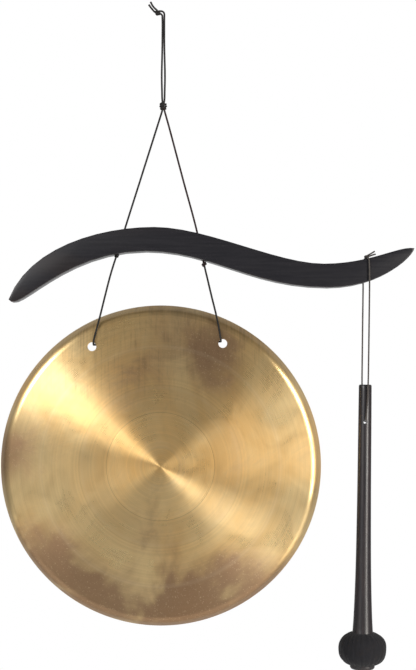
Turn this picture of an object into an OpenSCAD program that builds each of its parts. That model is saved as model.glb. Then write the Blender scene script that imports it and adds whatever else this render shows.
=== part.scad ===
// Hanging tam tam: a turned-lip brass gong under an S-shaped wooden beam, with its mallet.
// Millimetres. +X to the right, the gong's face towards -Y, +Z up.
// The origin is where a wall hook bears on the cord, just under the tie knot.

/* [Gong] */
// Diameter of the gong over its lip
gong_d = 257.6; // [250:0.2:260]
// Sheet thickness of the gong
gong_t = 1.2; // [0.8:0.1:2]
// Depth of the turned-back lip
lip_depth = 14; // [8:1:20]
// Lean of the lip, outwards from the gong's axis, in degrees
lip_lean = 20; // [5:1:30]
// Radius of the bend between face and lip
lip_bend_r = 6; // [4:0.5:9]
// Diameter of each cord hole
gong_hole_d = 7; // [6.5:0.5:8]
// Distance of the cord holes from the gong's centre
gong_hole_r = 109.7; // [109:0.1:110.4]

/* [Beam] */
// Depth of the beam, front to back
beam_depth = 17; // [14:1:18]
// Diameter of the two cord holes through the beam
beam_hole_d = 3.2; // [3:0.1:4.5]

/* [Cords] */
// Diameter of the braided hanging cord
cord_d = 1.5; // [1.2:0.1:1.6]
// Diameter of the mallet's thinner cord
mallet_cord_d = 1.2; // [0.8:0.1:1.3]

/* [Mallet] */
// Length of the handle above the head
handle_len = 198.6; // [198:0.2:199]
// Diameter of the handle at its top end
handle_top_d = 10.2; // [9:0.2:10.4]
// Diameter of the handle's rim, where it meets the head
handle_rim_d = 16.6; // [15.4:0.2:16.8]
// Diameter of the padded head
head_d = 38.4; // [34:0.2:40]
// Height of the padded head
head_h = 28; // [27:0.5:29]
// Thickness of the head's cloth cover
cover_t = 1.3; // [1:0.1:2]
// Diameter of the end cap under the head
cap_d = 19.6; // [18:0.2:19.8]

/* [Hidden] */

// Facets of turned shapes, of small bores and of knots
turned_fn = 120;
bore_fn = 32;
knot_fn = 24;
// Sides of a cord's tube
cord_sides = 8;
// Steps along each curve of an outline and round each bend
curve_steps = 12;
bend_steps = 8;
// Gap left between two pieces that lie against each other
gap = 0.1;
// Overshoot of a cutting tool past the surface it cuts
over = 1;

// Gong: centre, the holes' half angle and the roll at which it hangs
gong_x = -2.4;
gong_z = -360.2;
hole_half_angle = 28.3;
gong_roll = -1.4;
lip_slant = (lip_depth - lip_bend_r * (1 - sin(lip_lean))) / cos(lip_lean);
face_r = gong_d / 2 - lip_bend_r * cos(lip_lean) - lip_slant * sin(lip_lean);

// Beam: tips, the crest and the trough of each edge, and the reach of the curve handles
beam_tip_left = [-122, -227.8];
beam_tip_right = [198.5, -187.3];
top_crest = [-7, -170.5];
top_trough = [127, -199.5];
bottom_crest = [-13.5, -189.5];
bottom_trough = [130.5, -218.2];
top_curves = [
    [beam_tip_left, [-106, -186.5], top_crest - [43.5, 0], top_crest],
    [top_crest, top_crest + [41.5, 0], top_trough - [37, 0], top_trough],
    [top_trough, top_trough + [37, 0], [186.5, -185], beam_tip_right]];
bottom_curves = [
    [beam_tip_right, [197, -194.5], bottom_trough + [42, 0], bottom_trough],
    [bottom_trough, bottom_trough - [61, 0], bottom_crest + [52, 0], bottom_crest],
    [bottom_crest, bottom_crest - [66.5, 0], [-115.5, -240], beam_tip_left]];

// Knots: centre and radius
tie_knot_at = [-4.4, 0, 0.8];
tie_knot_r = 2.5;
gather_knot_at = [0, 0, -73.5];
gather_knot_r = 3.5;
stop_knot_left_at = [-37, 0, -192.6];
stop_knot_left_r = 1.7;
stop_knot_right_at = [32.4, 0, -199.3];
stop_knot_right_r = 2.2;
mallet_knot_at = [160.9, 0, -193.7];
mallet_knot_r = 1.4;

// Routes of the hanging cord, from the tie knot down
bend_inner_route = [[-3, 0, 0], [-1.9, 0, -0.5], [-1, 0, -1.4], [-0.8, 0, -2.7]];
bend_outer_route = [[-3.4, 0, 1.8], [-1.4, 0, 1.8], [0.2, 0, 0.9], [0.8, 0, -0.8], [0.8, 0, -2.7]];
tail_upper_route = [[-5.4, 0, 2.7], [-8, 0, 5.4], [-10.2, 0, 9.2]];
tail_lower_route = [[-6.4, 0, 1.1], [-9.2, 0, 3.8], [-11.6, 0, 7]];
strand_left_route = [[-0.8, 0, -3.3], [-0.8, 0, -25], [-1.3, 0, -50], [-1.1, 0, -61], [-0.8, 0, -69.5]];
strand_right_route = [[0.8, 0, -3.3], [0.8, 0, -25], [1.3, 0, -50], [1.1, 0, -61], [0.8, 0, -69.5]];
upper_left_route = [[-1, 0, -77.6], [-4.4, 0, -88.5], [-17.3, 0, -129.3], [-30.2, 0, -170],
                    [-36.8, 0, -191.4]];
upper_right_route = [[1, 0, -77.6], [4.2, 0, -89], [15.5, 0, -131.5], [26.4, 0, -172],
                     [31.8, 0, -197.2]];
gong_cord_route = [
    [-38, 0, -195], [-42, -0.8, -208], [-46.3, -1.8, -225], [-50.2, -2.7, -241],
    [-53.6, -3.1, -254], [-55.2, -3, -260.4], [-55.4, -2.6, -261.9], [-55.4, -1.5, -263],
    [-55.4, 0, -263.4], [-55, 1.5, -263.4], [-53.9, 2.6, -263.3], [-52.4, 3, -263.3],
    [-4, 3, -262.1],
    [42.7, 3, -260.8], [44.2, 2.6, -260.8], [45.3, 1.5, -260.8], [45.7, 0, -260.8],
    [45.7, -1.5, -260.4], [45.7, -2.6, -259.3], [45.4, -3, -257.8], [44.3, -3.1, -251],
    [41.7, -2.6, -238.5], [38.6, -1.8, -226], [35.3, -0.7, -212], [32.9, 0, -201.8]];

// Routes of the mallet's cord: over the beam, down past it, and through the handle
mallet_bight_route = [[161.2, -6.4, -194.4], [161.2, 0, -194.4], [161.2, 6.4, -194.4]];
mallet_tail_upper_route = [[161.8, 0, -192.8], [165.2, 0, -190.8], [168.1, 0, -189]];
mallet_tail_lower_route = [[162.2, 0, -193.6], [165.4, 0, -192.3], [168.8, 0, -191.3]];
mallet_front_route = [[161.2, -6.7, -194.4], [161.3, -8, -194.4], [161.6, -9.2, -194.7],
                      [162.2, -9.7, -196], [162.6, -9.7, -200], [162.8, -9.7, -213.9]];
mallet_back_route = [[161.2, 6.7, -194.4], [161.1, 8, -194.4], [160.8, 9.2, -194.7],
                     [160.4, 9.7, -196], [160.1, 9.7, -200], [159.9, 9.7, -213.9]];
mallet_lower_route = [
    [162.8, -9.7, -217.1], [162.6, -8.6, -246], [162.3, -7.3, -278], [162.1, -6.7, -293],
    [161.7, -6.4, -305], [160.9, -6.35, -316], [160.5, -6.35, -321.2], [160.4, -6.25, -323],
    [160.3, -5.8, -323.85], [160.2, -4.9, -324.1], [160.2, -3.9, -324.1], [160.2, 3.9, -324.1],
    [160.2, 4.9, -324.1], [160.1, 5.8, -323.85], [160, 6.25, -323], [159.9, 6.35, -321.2],
    [159.5, 6.35, -316], [158.9, 6.4, -305], [158.7, 6.7, -293], [158.9, 7.3, -278],
    [159.4, 8.6, -246], [159.9, 9.7, -217.1]];

// Mallet: place of the handle's top, its lean, and the places down the handle
mallet_at = [160.5, 0, -295];
mallet_lean = 0.6;
cross_hole_d = 3.2;
cross_hole_down = 29.6;
handle_edge_r = 1.2;
rim_edge_r = 1;
waist_down = 92;
waist_d = 11.1;
flare_down = 150;
flare_d = 12.5;
swell_down = 184;
swell_d = 14.7;
spigot_d = 8;
spigot_end = 223.4;
fit = 0.05;
head_down = 210;
head_square = 2.4;
neck_d = 17.4;
cap_top = 220.6;
cap_end = 226;
cap_edge_r = 2.2;
cap_bore_end = 223.8;
cap_mouth_d = 20;

cord_colour = [0.13, 0.1, 0.11];
cord_grey = [0.36, 0.33, 0.33];
wood_black = [0.1, 0.09, 0.12];
cloth_black = [0.07, 0.07, 0.09];
gong_colour = [0.72, 0.58, 0.32];
core_colour = [0.5, 0.46, 0.4];

// A unit vector along v
function unit(v) = v / norm(v);

// A point of a cubic curve with four handles, t from 0 to 1
function curve_point(h, t) =
    pow(1 - t, 3) * h[0] + 3 * pow(1 - t, 2) * t * h[1]
    + 3 * (1 - t) * t * t * h[2] + pow(t, 3) * h[3];

// The points of a run of cubic curves, each without its last point
function curve_points(curves) =
    [for (h = curves) for (i = [0 : curve_steps - 1]) curve_point(h, i / curve_steps)];

// The points of an arc about c
function arc(c, r, from, to) =
    [for (i = [0 : bend_steps]) c + r * [cos(from + (to - from) * i / bend_steps),
                                         sin(from + (to - from) * i / bend_steps)]];

// The direction of a route at its point i
function heading(route, i) =
    let (last = len(route) - 1,
         into = i > 0 ? unit(route[i] - route[i - 1]) : unit(route[1] - route[0]),
         out = i < last ? unit(route[i + 1] - route[i]) : unit(route[last] - route[last - 1]))
    unit(into + out);

// The ring of points round a route's point i; side is a direction the route never takes
function ring(route, i, d, side) =
    let (t = heading(route, i), u = unit(cross(t, side)), v = cross(t, u))
    [for (k = [0 : cord_sides - 1])
        route[i] + d / 2 * (cos(360 * k / cord_sides) * u + sin(360 * k / cord_sides) * v)];

// A cord: a tube of diameter d along a route, closed at both ends
module cord(route, d, side = [0, 1, 0]) {
    n = cord_sides;
    last = len(route) - 1;
    points = [for (i = [0 : last]) each ring(route, i, d, side)];
    walls = [for (i = [0 : last - 1]) for (k = [0 : n - 1])
        let (a = i * n + k, b = i * n + (k + 1) % n)
        each [[a, a + n, b + n], [a, b + n, b]]];
    start = [for (k = [0 : n - 1]) k];
    end = [for (k = [n - 1 : -1 : 0]) last * n + k];
    polyhedron(points = points, faces = concat(walls, [start, end]), convexity = 6);
}

// A round knot
module knot(at, r) {
    translate(at) sphere(r = r, $fn = knot_fn);
}

// A straight drilling through two points of the beam's plane, running past both
module drilling(from, to, d) {
    along = to - from;
    reach = 12;
    translate(from)
        rotate([0, atan2(along[0], along[2]), 0])
            translate([0, 0, -reach])
                cylinder(d = d, h = norm(along) + 2 * reach, $fn = bore_fn);
}

// Places children in the mallet's own frame, with its top at the origin
module in_mallet() {
    translate(mallet_at) rotate([0, mallet_lean, 0]) children();
}

// A squashed ball about the mallet's axis, with half sizes w and h
module squashed_ball(w, h) {
    half = [for (i = [-bend_steps * 2 : bend_steps * 2])
        let (a = 90 * i / (bend_steps * 2))
        [w * pow(cos(a), 2 / head_square), h * sign(a) * pow(abs(sin(a)), 2 / head_square)]];
    rotate_extrude($fn = turned_fn) translate([0, -head_down]) polygon(half);
}

module tie_knot() {
    color(cord_colour) knot(tie_knot_at, tie_knot_r);
}

module tie_tail_upper() {
    color(cord_colour) cord(tail_upper_route, cord_d);
}

module tie_tail_lower() {
    color(cord_colour) cord(tail_lower_route, cord_d);
}

module hook_bend() {
    color(cord_colour) {
        cord(bend_inner_route, cord_d);
        cord(bend_outer_route, cord_d);
    }
}

module loop_strand_left() {
    color(cord_colour) cord(strand_left_route, cord_d);
}

module loop_strand_right() {
    color(cord_colour) cord(strand_right_route, cord_d);
}

module gather_knot() {
    color(cord_colour) knot(gather_knot_at, gather_knot_r);
}

module upper_cord_left() {
    color(cord_colour) cord(upper_left_route, cord_d);
}

module upper_cord_right() {
    color(cord_colour) cord(upper_right_route, cord_d);
}

module beam() {
    color(wood_black) difference() {
        rotate([90, 0, 0])
            linear_extrude(height = beam_depth, center = true)
                polygon(concat(curve_points(top_curves), curve_points(bottom_curves)));
        drilling(upper_left_route[3], upper_left_route[4], beam_hole_d);
        drilling(upper_right_route[3], upper_right_route[4], beam_hole_d);
    }
}

module stop_knot_left() {
    color(cord_colour) knot(stop_knot_left_at, stop_knot_left_r);
}

module stop_knot_right() {
    color(cord_colour) knot(stop_knot_right_at, stop_knot_right_r);
}

module gong_cord() {
    color(cord_colour) cord(gong_cord_route, cord_d, [1, 1, -1]);
}

// Half section of the gong: radius, and depth behind the face
function gong_section() =
    let (bend_at = [face_r, lip_bend_r],
         edge = [gong_d / 2, lip_depth],
         across = [-cos(lip_lean), sin(lip_lean)])
    concat([[0, 0]], arc(bend_at, lip_bend_r, -90, -lip_lean),
           [edge, edge + gong_t * across],
           arc(bend_at, lip_bend_r - gong_t, -lip_lean, -90), [[0, gong_t]]);

module gong_plate() {
    color(gong_colour) translate([gong_x, 0, gong_z]) difference() {
        rotate([-90, 0, 0])
            translate([0, 0, -gong_t / 2])
                rotate_extrude($fn = turned_fn) polygon(gong_section());
        for (side = [-1, 1])
            rotate([0, side * hole_half_angle + gong_roll, 0])
                translate([0, 0, gong_hole_r])
                    rotate([90, 0, 0])
                        cylinder(d = gong_hole_d, h = gong_t + 2 * over, center = true, $fn = bore_fn);
    }
}

module mallet_bight() {
    color(cord_grey) cord(mallet_bight_route, mallet_cord_d, [1, 0, 0]);
}

module mallet_knot() {
    color(cord_grey) knot(mallet_knot_at, mallet_knot_r);
}

module mallet_tail_upper() {
    color(cord_grey) cord(mallet_tail_upper_route, mallet_cord_d);
}

module mallet_tail_lower() {
    color(cord_grey) cord(mallet_tail_lower_route, mallet_cord_d);
}

module mallet_loop_upper() {
    color(cord_grey) {
        cord(mallet_front_route, mallet_cord_d, [1, 0, 0]);
        cord(mallet_back_route, mallet_cord_d, [1, 0, 0]);
    }
}

module mallet_loop_lower() {
    color(cord_grey) cord(mallet_lower_route, mallet_cord_d, [1, 0, 0]);
}

// Half section of the handle, from its rounded top edge down to the spigot's end
function handle_section() =
    let (top_r = handle_top_d / 2, rim_r = handle_rim_d / 2)
    concat([[0, 0]],
           arc([top_r - handle_edge_r, -handle_edge_r], handle_edge_r, 90, 0),
           [[waist_d / 2, -waist_down], [flare_d / 2, -flare_down], [swell_d / 2, -swell_down]],
           arc([rim_r - rim_edge_r, rim_edge_r - handle_len], rim_edge_r, 0, -90),
           [[spigot_d / 2, -handle_len], [spigot_d / 2, -spigot_end], [0, -spigot_end]]);

module mallet_handle() {
    color(wood_black) in_mallet() difference() {
        rotate_extrude($fn = turned_fn) polygon(handle_section());
        translate([0, 0, -cross_hole_down])
            rotate([90, 0, 0])
                cylinder(d = cross_hole_d, h = handle_top_d + 2 * over, center = true, $fn = bore_fn);
    }
}

module mallet_core() {
    inner_w = head_d / 2 - cover_t - gap;
    inner_h = head_h / 2 - cover_t - gap;
    color(core_colour) in_mallet() difference() {
        squashed_ball(inner_w, inner_h);
        translate([0, 0, -handle_len - gap]) cylinder(d = head_d, h = head_h, $fn = turned_fn);
        translate([0, 0, gap - cap_top - head_h]) cylinder(d = head_d, h = head_h, $fn = turned_fn);
        translate([0, 0, -cap_end]) cylinder(d = spigot_d + 2 * fit, h = head_h + over, $fn = bore_fn * 2);
    }
}

module mallet_cover() {
    color(cloth_black) in_mallet() difference() {
        squashed_ball(head_d / 2, head_h / 2);
        squashed_ball(head_d / 2 - cover_t, head_h / 2 - cover_t);
        translate([0, 0, -head_down]) cylinder(d = neck_d, h = head_h, $fn = turned_fn);
        translate([0, 0, -head_down - head_h]) cylinder(d = cap_mouth_d, h = head_h, $fn = turned_fn);
    }
}

// Half section of the end cap, a turned button with a blind bore for the spigot
function cap_section() =
    let (r = cap_d / 2, bore_r = spigot_d / 2 + fit)
    concat([[bore_r, -cap_top], [r, -cap_top]],
           arc([r - cap_edge_r, cap_edge_r - cap_end], cap_edge_r, 0, -90),
           [[0, -cap_end], [0, -cap_bore_end], [bore_r, -cap_bore_end]]);

module mallet_end_cap() {
    color(wood_black) in_mallet() rotate_extrude($fn = turned_fn) polygon(cap_section());
}

tie_knot();
tie_tail_upper();
tie_tail_lower();
hook_bend();
loop_strand_left();
loop_strand_right();
gather_knot();
upper_cord_left();
upper_cord_right();
beam();
stop_knot_left();
stop_knot_right();
gong_cord();
gong_plate();
mallet_bight();
mallet_knot();
mallet_tail_upper();
mallet_tail_lower();
mallet_loop_upper();
mallet_loop_lower();
mallet_handle();
mallet_core();
mallet_cover();
mallet_end_cap();
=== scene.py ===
"""Looks of a hanging tam tam gong, its beam, its cords and its mallet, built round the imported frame.

Every length is in metres and every place is in the frame's own axes: +X right, +Z up, the gong facing -Y,
the origin where a hook bears on the cord.
"""
import logging
import math
from dataclasses import dataclass, field
from enum import Enum
from typing import Iterable, Sequence

import bmesh
import bpy
import numpy as np
from mathutils import Matrix, Vector


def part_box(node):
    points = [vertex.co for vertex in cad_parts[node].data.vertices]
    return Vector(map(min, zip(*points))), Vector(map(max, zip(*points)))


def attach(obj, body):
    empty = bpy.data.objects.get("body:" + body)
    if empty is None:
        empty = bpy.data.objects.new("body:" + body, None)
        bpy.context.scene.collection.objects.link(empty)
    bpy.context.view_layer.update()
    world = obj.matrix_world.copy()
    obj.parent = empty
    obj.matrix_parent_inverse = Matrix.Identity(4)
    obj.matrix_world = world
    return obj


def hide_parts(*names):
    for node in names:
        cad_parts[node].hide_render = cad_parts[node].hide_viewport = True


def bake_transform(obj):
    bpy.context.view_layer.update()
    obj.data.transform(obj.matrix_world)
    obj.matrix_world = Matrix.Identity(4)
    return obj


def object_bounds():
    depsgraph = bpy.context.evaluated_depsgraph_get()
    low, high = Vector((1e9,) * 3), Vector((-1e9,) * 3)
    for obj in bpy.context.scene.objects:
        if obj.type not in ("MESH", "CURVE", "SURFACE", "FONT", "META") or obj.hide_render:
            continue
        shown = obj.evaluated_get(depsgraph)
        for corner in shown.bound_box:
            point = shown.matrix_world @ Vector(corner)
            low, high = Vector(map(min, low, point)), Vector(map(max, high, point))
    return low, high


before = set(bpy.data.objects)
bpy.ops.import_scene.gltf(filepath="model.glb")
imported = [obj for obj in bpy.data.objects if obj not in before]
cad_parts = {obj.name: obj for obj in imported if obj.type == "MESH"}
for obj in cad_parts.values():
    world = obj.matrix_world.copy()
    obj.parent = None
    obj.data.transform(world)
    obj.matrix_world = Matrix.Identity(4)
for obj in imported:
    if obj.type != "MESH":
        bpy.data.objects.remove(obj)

log = logging.getLogger("tam_tam")
Point = tuple[float, float, float]
Socket = bpy.types.NodeSocket
CAD_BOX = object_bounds()
DRILL_OVERRUN = 0.004
DRILL_SIDES = 40


# ------------------------------------------------------------------ helpers for meshes and routes


def smooth_route(points: Sequence[Point], step: float) -> list[Vector]:
    """Runs one smooth curve through a route's points.

    Args:
        points: the route's own points, in order.
        step: the distance between samples along the curve.

    Returns:
        Evenly spaced samples, the first and the last on the route's ends.
    """
    p = [Vector(q) for q in points]
    p = [2 * p[0] - p[1], *p, 2 * p[-1] - p[-2]]
    dense: list[Vector] = []
    for a, b, c, d in zip(p, p[1:], p[2:], p[3:]):
        gaps = [max((v - u).length, 1e-7) ** 0.5 for u, v in ((a, b), (b, c), (c, d))]
        t1, t2 = gaps[0], gaps[0] + gaps[1]
        t3 = t2 + gaps[2]
        count = max(2, math.ceil((c - b).length / (step / 4)))
        for i in range(count):
            t = t1 + (t2 - t1) * i / count
            ab = a.lerp(b, t / t1)
            bc = b.lerp(c, (t - t1) / (t2 - t1))
            cd = c.lerp(d, (t - t2) / (t3 - t2))
            abc = ab.lerp(bc, t / t2)
            bcd = bc.lerp(cd, (t - t1) / (t3 - t1))
            dense.append(abc.lerp(bcd, (t - t1) / (t2 - t1)))
    dense.append(p[-2])
    run = np.cumsum([0.0] + [(v - u).length for u, v in zip(dense, dense[1:])])
    places = np.linspace(0, run[-1], max(2, round(run[-1] / step)) + 1)
    axes = [np.interp(places, run, [q[k] for q in dense]) for k in range(3)]
    return [Vector(q) for q in zip(*axes)]


def new_object(name: str, mesh: bpy.types.Mesh, material: bpy.types.Material) -> bpy.types.Object:
    """Puts a mesh into the scene as an object at the origin.

    Args:
        name: the piece's name.
        mesh: its mesh, already in place.
        material: the only material on it.

    Returns:
        The new object.
    """
    mesh.name = name
    mesh.materials.clear()
    mesh.materials.append(material)
    piece = bpy.data.objects.new(name, mesh)
    bpy.context.scene.collection.objects.link(piece)
    return piece


def mesh_from(bm: bmesh.types.BMesh, sharp: float = 35.0) -> bpy.types.Mesh:
    """Finishes a bmesh: faces outward, smooth shading, and creases kept where faces meet steeply.

    Args:
        bm: the finished shape, which is freed.
        sharp: the angle in degrees past which an edge stays crisp.

    Returns:
        The new mesh.
    """
    bmesh.ops.remove_doubles(bm, verts=bm.verts, dist=1e-7)
    bmesh.ops.recalc_face_normals(bm, faces=bm.faces)
    for face in bm.faces:
        face.smooth = True
    for edge in bm.edges:
        edge.smooth = len(edge.link_faces) == 2 and edge.calc_face_angle() < math.radians(sharp)
    mesh = bpy.data.meshes.new("shape")
    bm.to_mesh(mesh)
    bm.free()
    return mesh


def spun(section: Sequence[tuple[float, float]], steps: int) -> bmesh.types.BMesh:
    """Turns a half section about the Z axis.

    Args:
        section: radius and height of each point, in order; radius 0 closes at the axis.
        steps: sides of the turned shape.

    Returns:
        The turned shape, closed where the section starts or ends on the axis.
    """
    bm = bmesh.new()
    points = [bm.verts.new((r, 0, z)) for r, z in section]
    edges = [bm.edges.new(pair) for pair in zip(points, points[1:])]
    bmesh.ops.spin(
        bm, geom=[*points, *edges], cent=(0, 0, 0), axis=(0, 0, 1), dvec=(0, 0, 0),
        angle=math.tau, steps=steps, use_merge=True, use_duplicate=False,
    )
    bmesh.ops.remove_doubles(bm, verts=bm.verts, dist=1e-6)
    bmesh.ops.recalc_face_normals(bm, faces=bm.faces)
    return bm


def rounded(corner: tuple[float, float], r: float, start: float, end: float, steps: int = 6) -> list:
    """An arc of a section.

    Args:
        corner: the arc's centre, as radius and height.
        r: its radius.
        start: its first angle in degrees, from the radius axis towards the height axis.
        end: its last angle.
        steps: its number of chords.

    Returns:
        The arc's points.
    """
    angles = [math.radians(start + (end - start) * i / steps) for i in range(steps + 1)]
    return [(corner[0] + r * math.cos(a), corner[1] + r * math.sin(a)) for a in angles]


def cut(piece: bpy.types.Object, cutters: Iterable[bmesh.types.BMesh], sharp: float = 35.0) -> None:
    """Cuts shapes out of a piece for good.

    Args:
        piece: the object that is cut.
        cutters: closed shapes, which are freed.
        sharp: the angle in degrees past which an edge stays crisp afterwards.
    """
    for number, cutter in enumerate(cutters):
        tool = new_object(f"cutter_{number}", mesh_from(cutter), piece.data.materials[0])
        modifier = piece.modifiers.new("cut", "BOOLEAN")
        modifier.operation = "DIFFERENCE"
        modifier.solver = "EXACT"
        modifier.object = tool
        bake_modifiers(piece)
        bpy.data.objects.remove(tool)
    bm = bmesh.new()
    bm.from_mesh(piece.data)
    material = piece.data.materials[0]
    piece.data = mesh_from(bm, sharp)
    piece.data.name = piece.name
    piece.data.materials.append(material)


def bake_modifiers(piece: bpy.types.Object) -> None:
    """Turns what a piece's modifiers make into its own mesh."""
    graph = bpy.context.evaluated_depsgraph_get()
    graph.update()
    mesh = bpy.data.meshes.new_from_object(piece.evaluated_get(graph))
    mesh.name = piece.name
    piece.modifiers.clear()
    piece.data = mesh


def drill(start: Vector, end: Vector, r: float, flare: float = 0.0) -> bmesh.types.BMesh:
    """A drilling tool, with flared ends where the mouths of the hole are eased.

    Args:
        start: the middle of the hole's first mouth.
        end: the middle of its other mouth.
        r: the hole's radius.
        flare: how far each mouth opens out.

    Returns:
        The closed tool.
    """
    along = end - start
    length = along.length
    over = DRILL_OVERRUN
    if flare:
        wide = r + flare + over
        wall = [(wide, -over), (r, flare), (r, length - flare), (wide, length + over)]
    else:
        wall = [(r, -over), (r, length + over)]
    section = [(0, -over), *wall, (0, length + over)]
    bm = spun(section, DRILL_SIDES)
    turn = Vector((0, 0, 1)).rotation_difference(along).to_matrix().to_4x4()
    bmesh.ops.transform(bm, matrix=Matrix.Translation(start) @ turn, verts=bm.verts)
    return bm


# ------------------------------------------------------------------------------------- finishes


class Sheet:
    """A builder of one material's nodes."""

    def __init__(self, name: str) -> None:
        """Starts a material with its Principled shader."""
        self.material = bpy.data.materials.new(name)
        self.material.use_nodes = True
        self.tree = self.material.node_tree
        self.shader = self.tree.nodes["Principled BSDF"]
        self.place = self.node("ShaderNodeTexCoord").outputs["Object"]

    def node(self, kind: str, **settings: object) -> bpy.types.Node:
        """Adds a node and sets its own properties."""
        made = self.tree.nodes.new(kind)
        for key, value in settings.items():
            setattr(made, key, value)
        return made

    def put(self, socket: Socket, value: object) -> None:
        """Links an output to a socket, or sets the socket's own value."""
        if isinstance(value, bpy.types.NodeSocket):
            self.tree.links.new(value, socket)
        else:
            socket.default_value = value

    def surface(self, **values: object) -> None:
        """Sets the Principled shader's sockets, named with _ for a space."""
        for key, value in values.items():
            self.put(self.shader.inputs[key.replace("_", " ")], value)

    def moved(self, offset: Point = (0, 0, 0), scale: Point = (1, 1, 1), turn: Point = (0, 0, 0),
              source: Socket | None = None) -> Socket:
        """Object coordinates (or another source) moved, turned and scaled."""
        made = self.node("ShaderNodeMapping")
        self.put(made.inputs["Vector"], source or self.place)
        made.inputs["Location"].default_value = offset
        made.inputs["Rotation"].default_value = turn
        made.inputs["Scale"].default_value = scale
        return made.outputs["Vector"]

    def noise(self, vector: Socket, scale: float, detail: float = 3, rough: float = 0.55,
              warp: float = 0) -> Socket:
        """Noise between 0 and 1 over a vector."""
        made = self.node("ShaderNodeTexNoise")
        self.put(made.inputs["Vector"], vector)
        for key, value in (("Scale", scale), ("Detail", detail), ("Roughness", rough), ("Distortion", warp)):
            made.inputs[key].default_value = value
        return made.outputs["Fac"]

    def maths(self, operation: str, a: object, b: object = 0.0, c: object = 0.0) -> Socket:
        """One step of arithmetic."""
        made = self.node("ShaderNodeMath", operation=operation)
        for socket, value in zip(made.inputs, (a, b, c)):
            self.put(socket, value)
        return made.outputs[0]

    def span(self, value: Socket, low: float, high: float, to_low: float = 0, to_high: float = 1) -> Socket:
        """A value carried smoothly from one range to another, and held at its ends."""
        made = self.node("ShaderNodeMapRange", interpolation_type="SMOOTHSTEP")
        for socket, number in zip(made.inputs, (value, low, high, to_low, to_high)):
            self.put(socket, number)
        return made.outputs[0]

    def mix(self, share: object, a: object, b: object, mode: str = "MIX") -> Socket:
        """Two colours mixed by a share."""
        made = self.node("ShaderNodeMix", data_type="RGBA", blend_type=mode)
        self.put(made.inputs[0], share)
        self.put(made.inputs[6], a)
        self.put(made.inputs[7], b)
        return made.outputs[2]

    def bump(self, height: Socket, depth: float, strength: float = 1.0,
             under: Socket | None = None) -> Socket:
        """A normal bent by a height, over another bump where one is given."""
        made = self.node("ShaderNodeBump")
        self.put(made.inputs["Height"], height)
        made.inputs["Distance"].default_value = depth
        made.inputs["Strength"].default_value = strength
        if under is not None:
            self.put(made.inputs["Normal"], under)
        return made.outputs["Normal"]


Colour = tuple[float, float, float, float]


def tone(r: float, g: float, b: float) -> Colour:
    """An opaque linear colour."""
    return (r, g, b, 1.0)


@dataclass(frozen=True)
class Patch:
    """One cloudy dark patch, placed from the gong's middle: part tarnishing, part painted dark reflection."""

    right: float
    up: float
    reach: float
    strength: float


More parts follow.
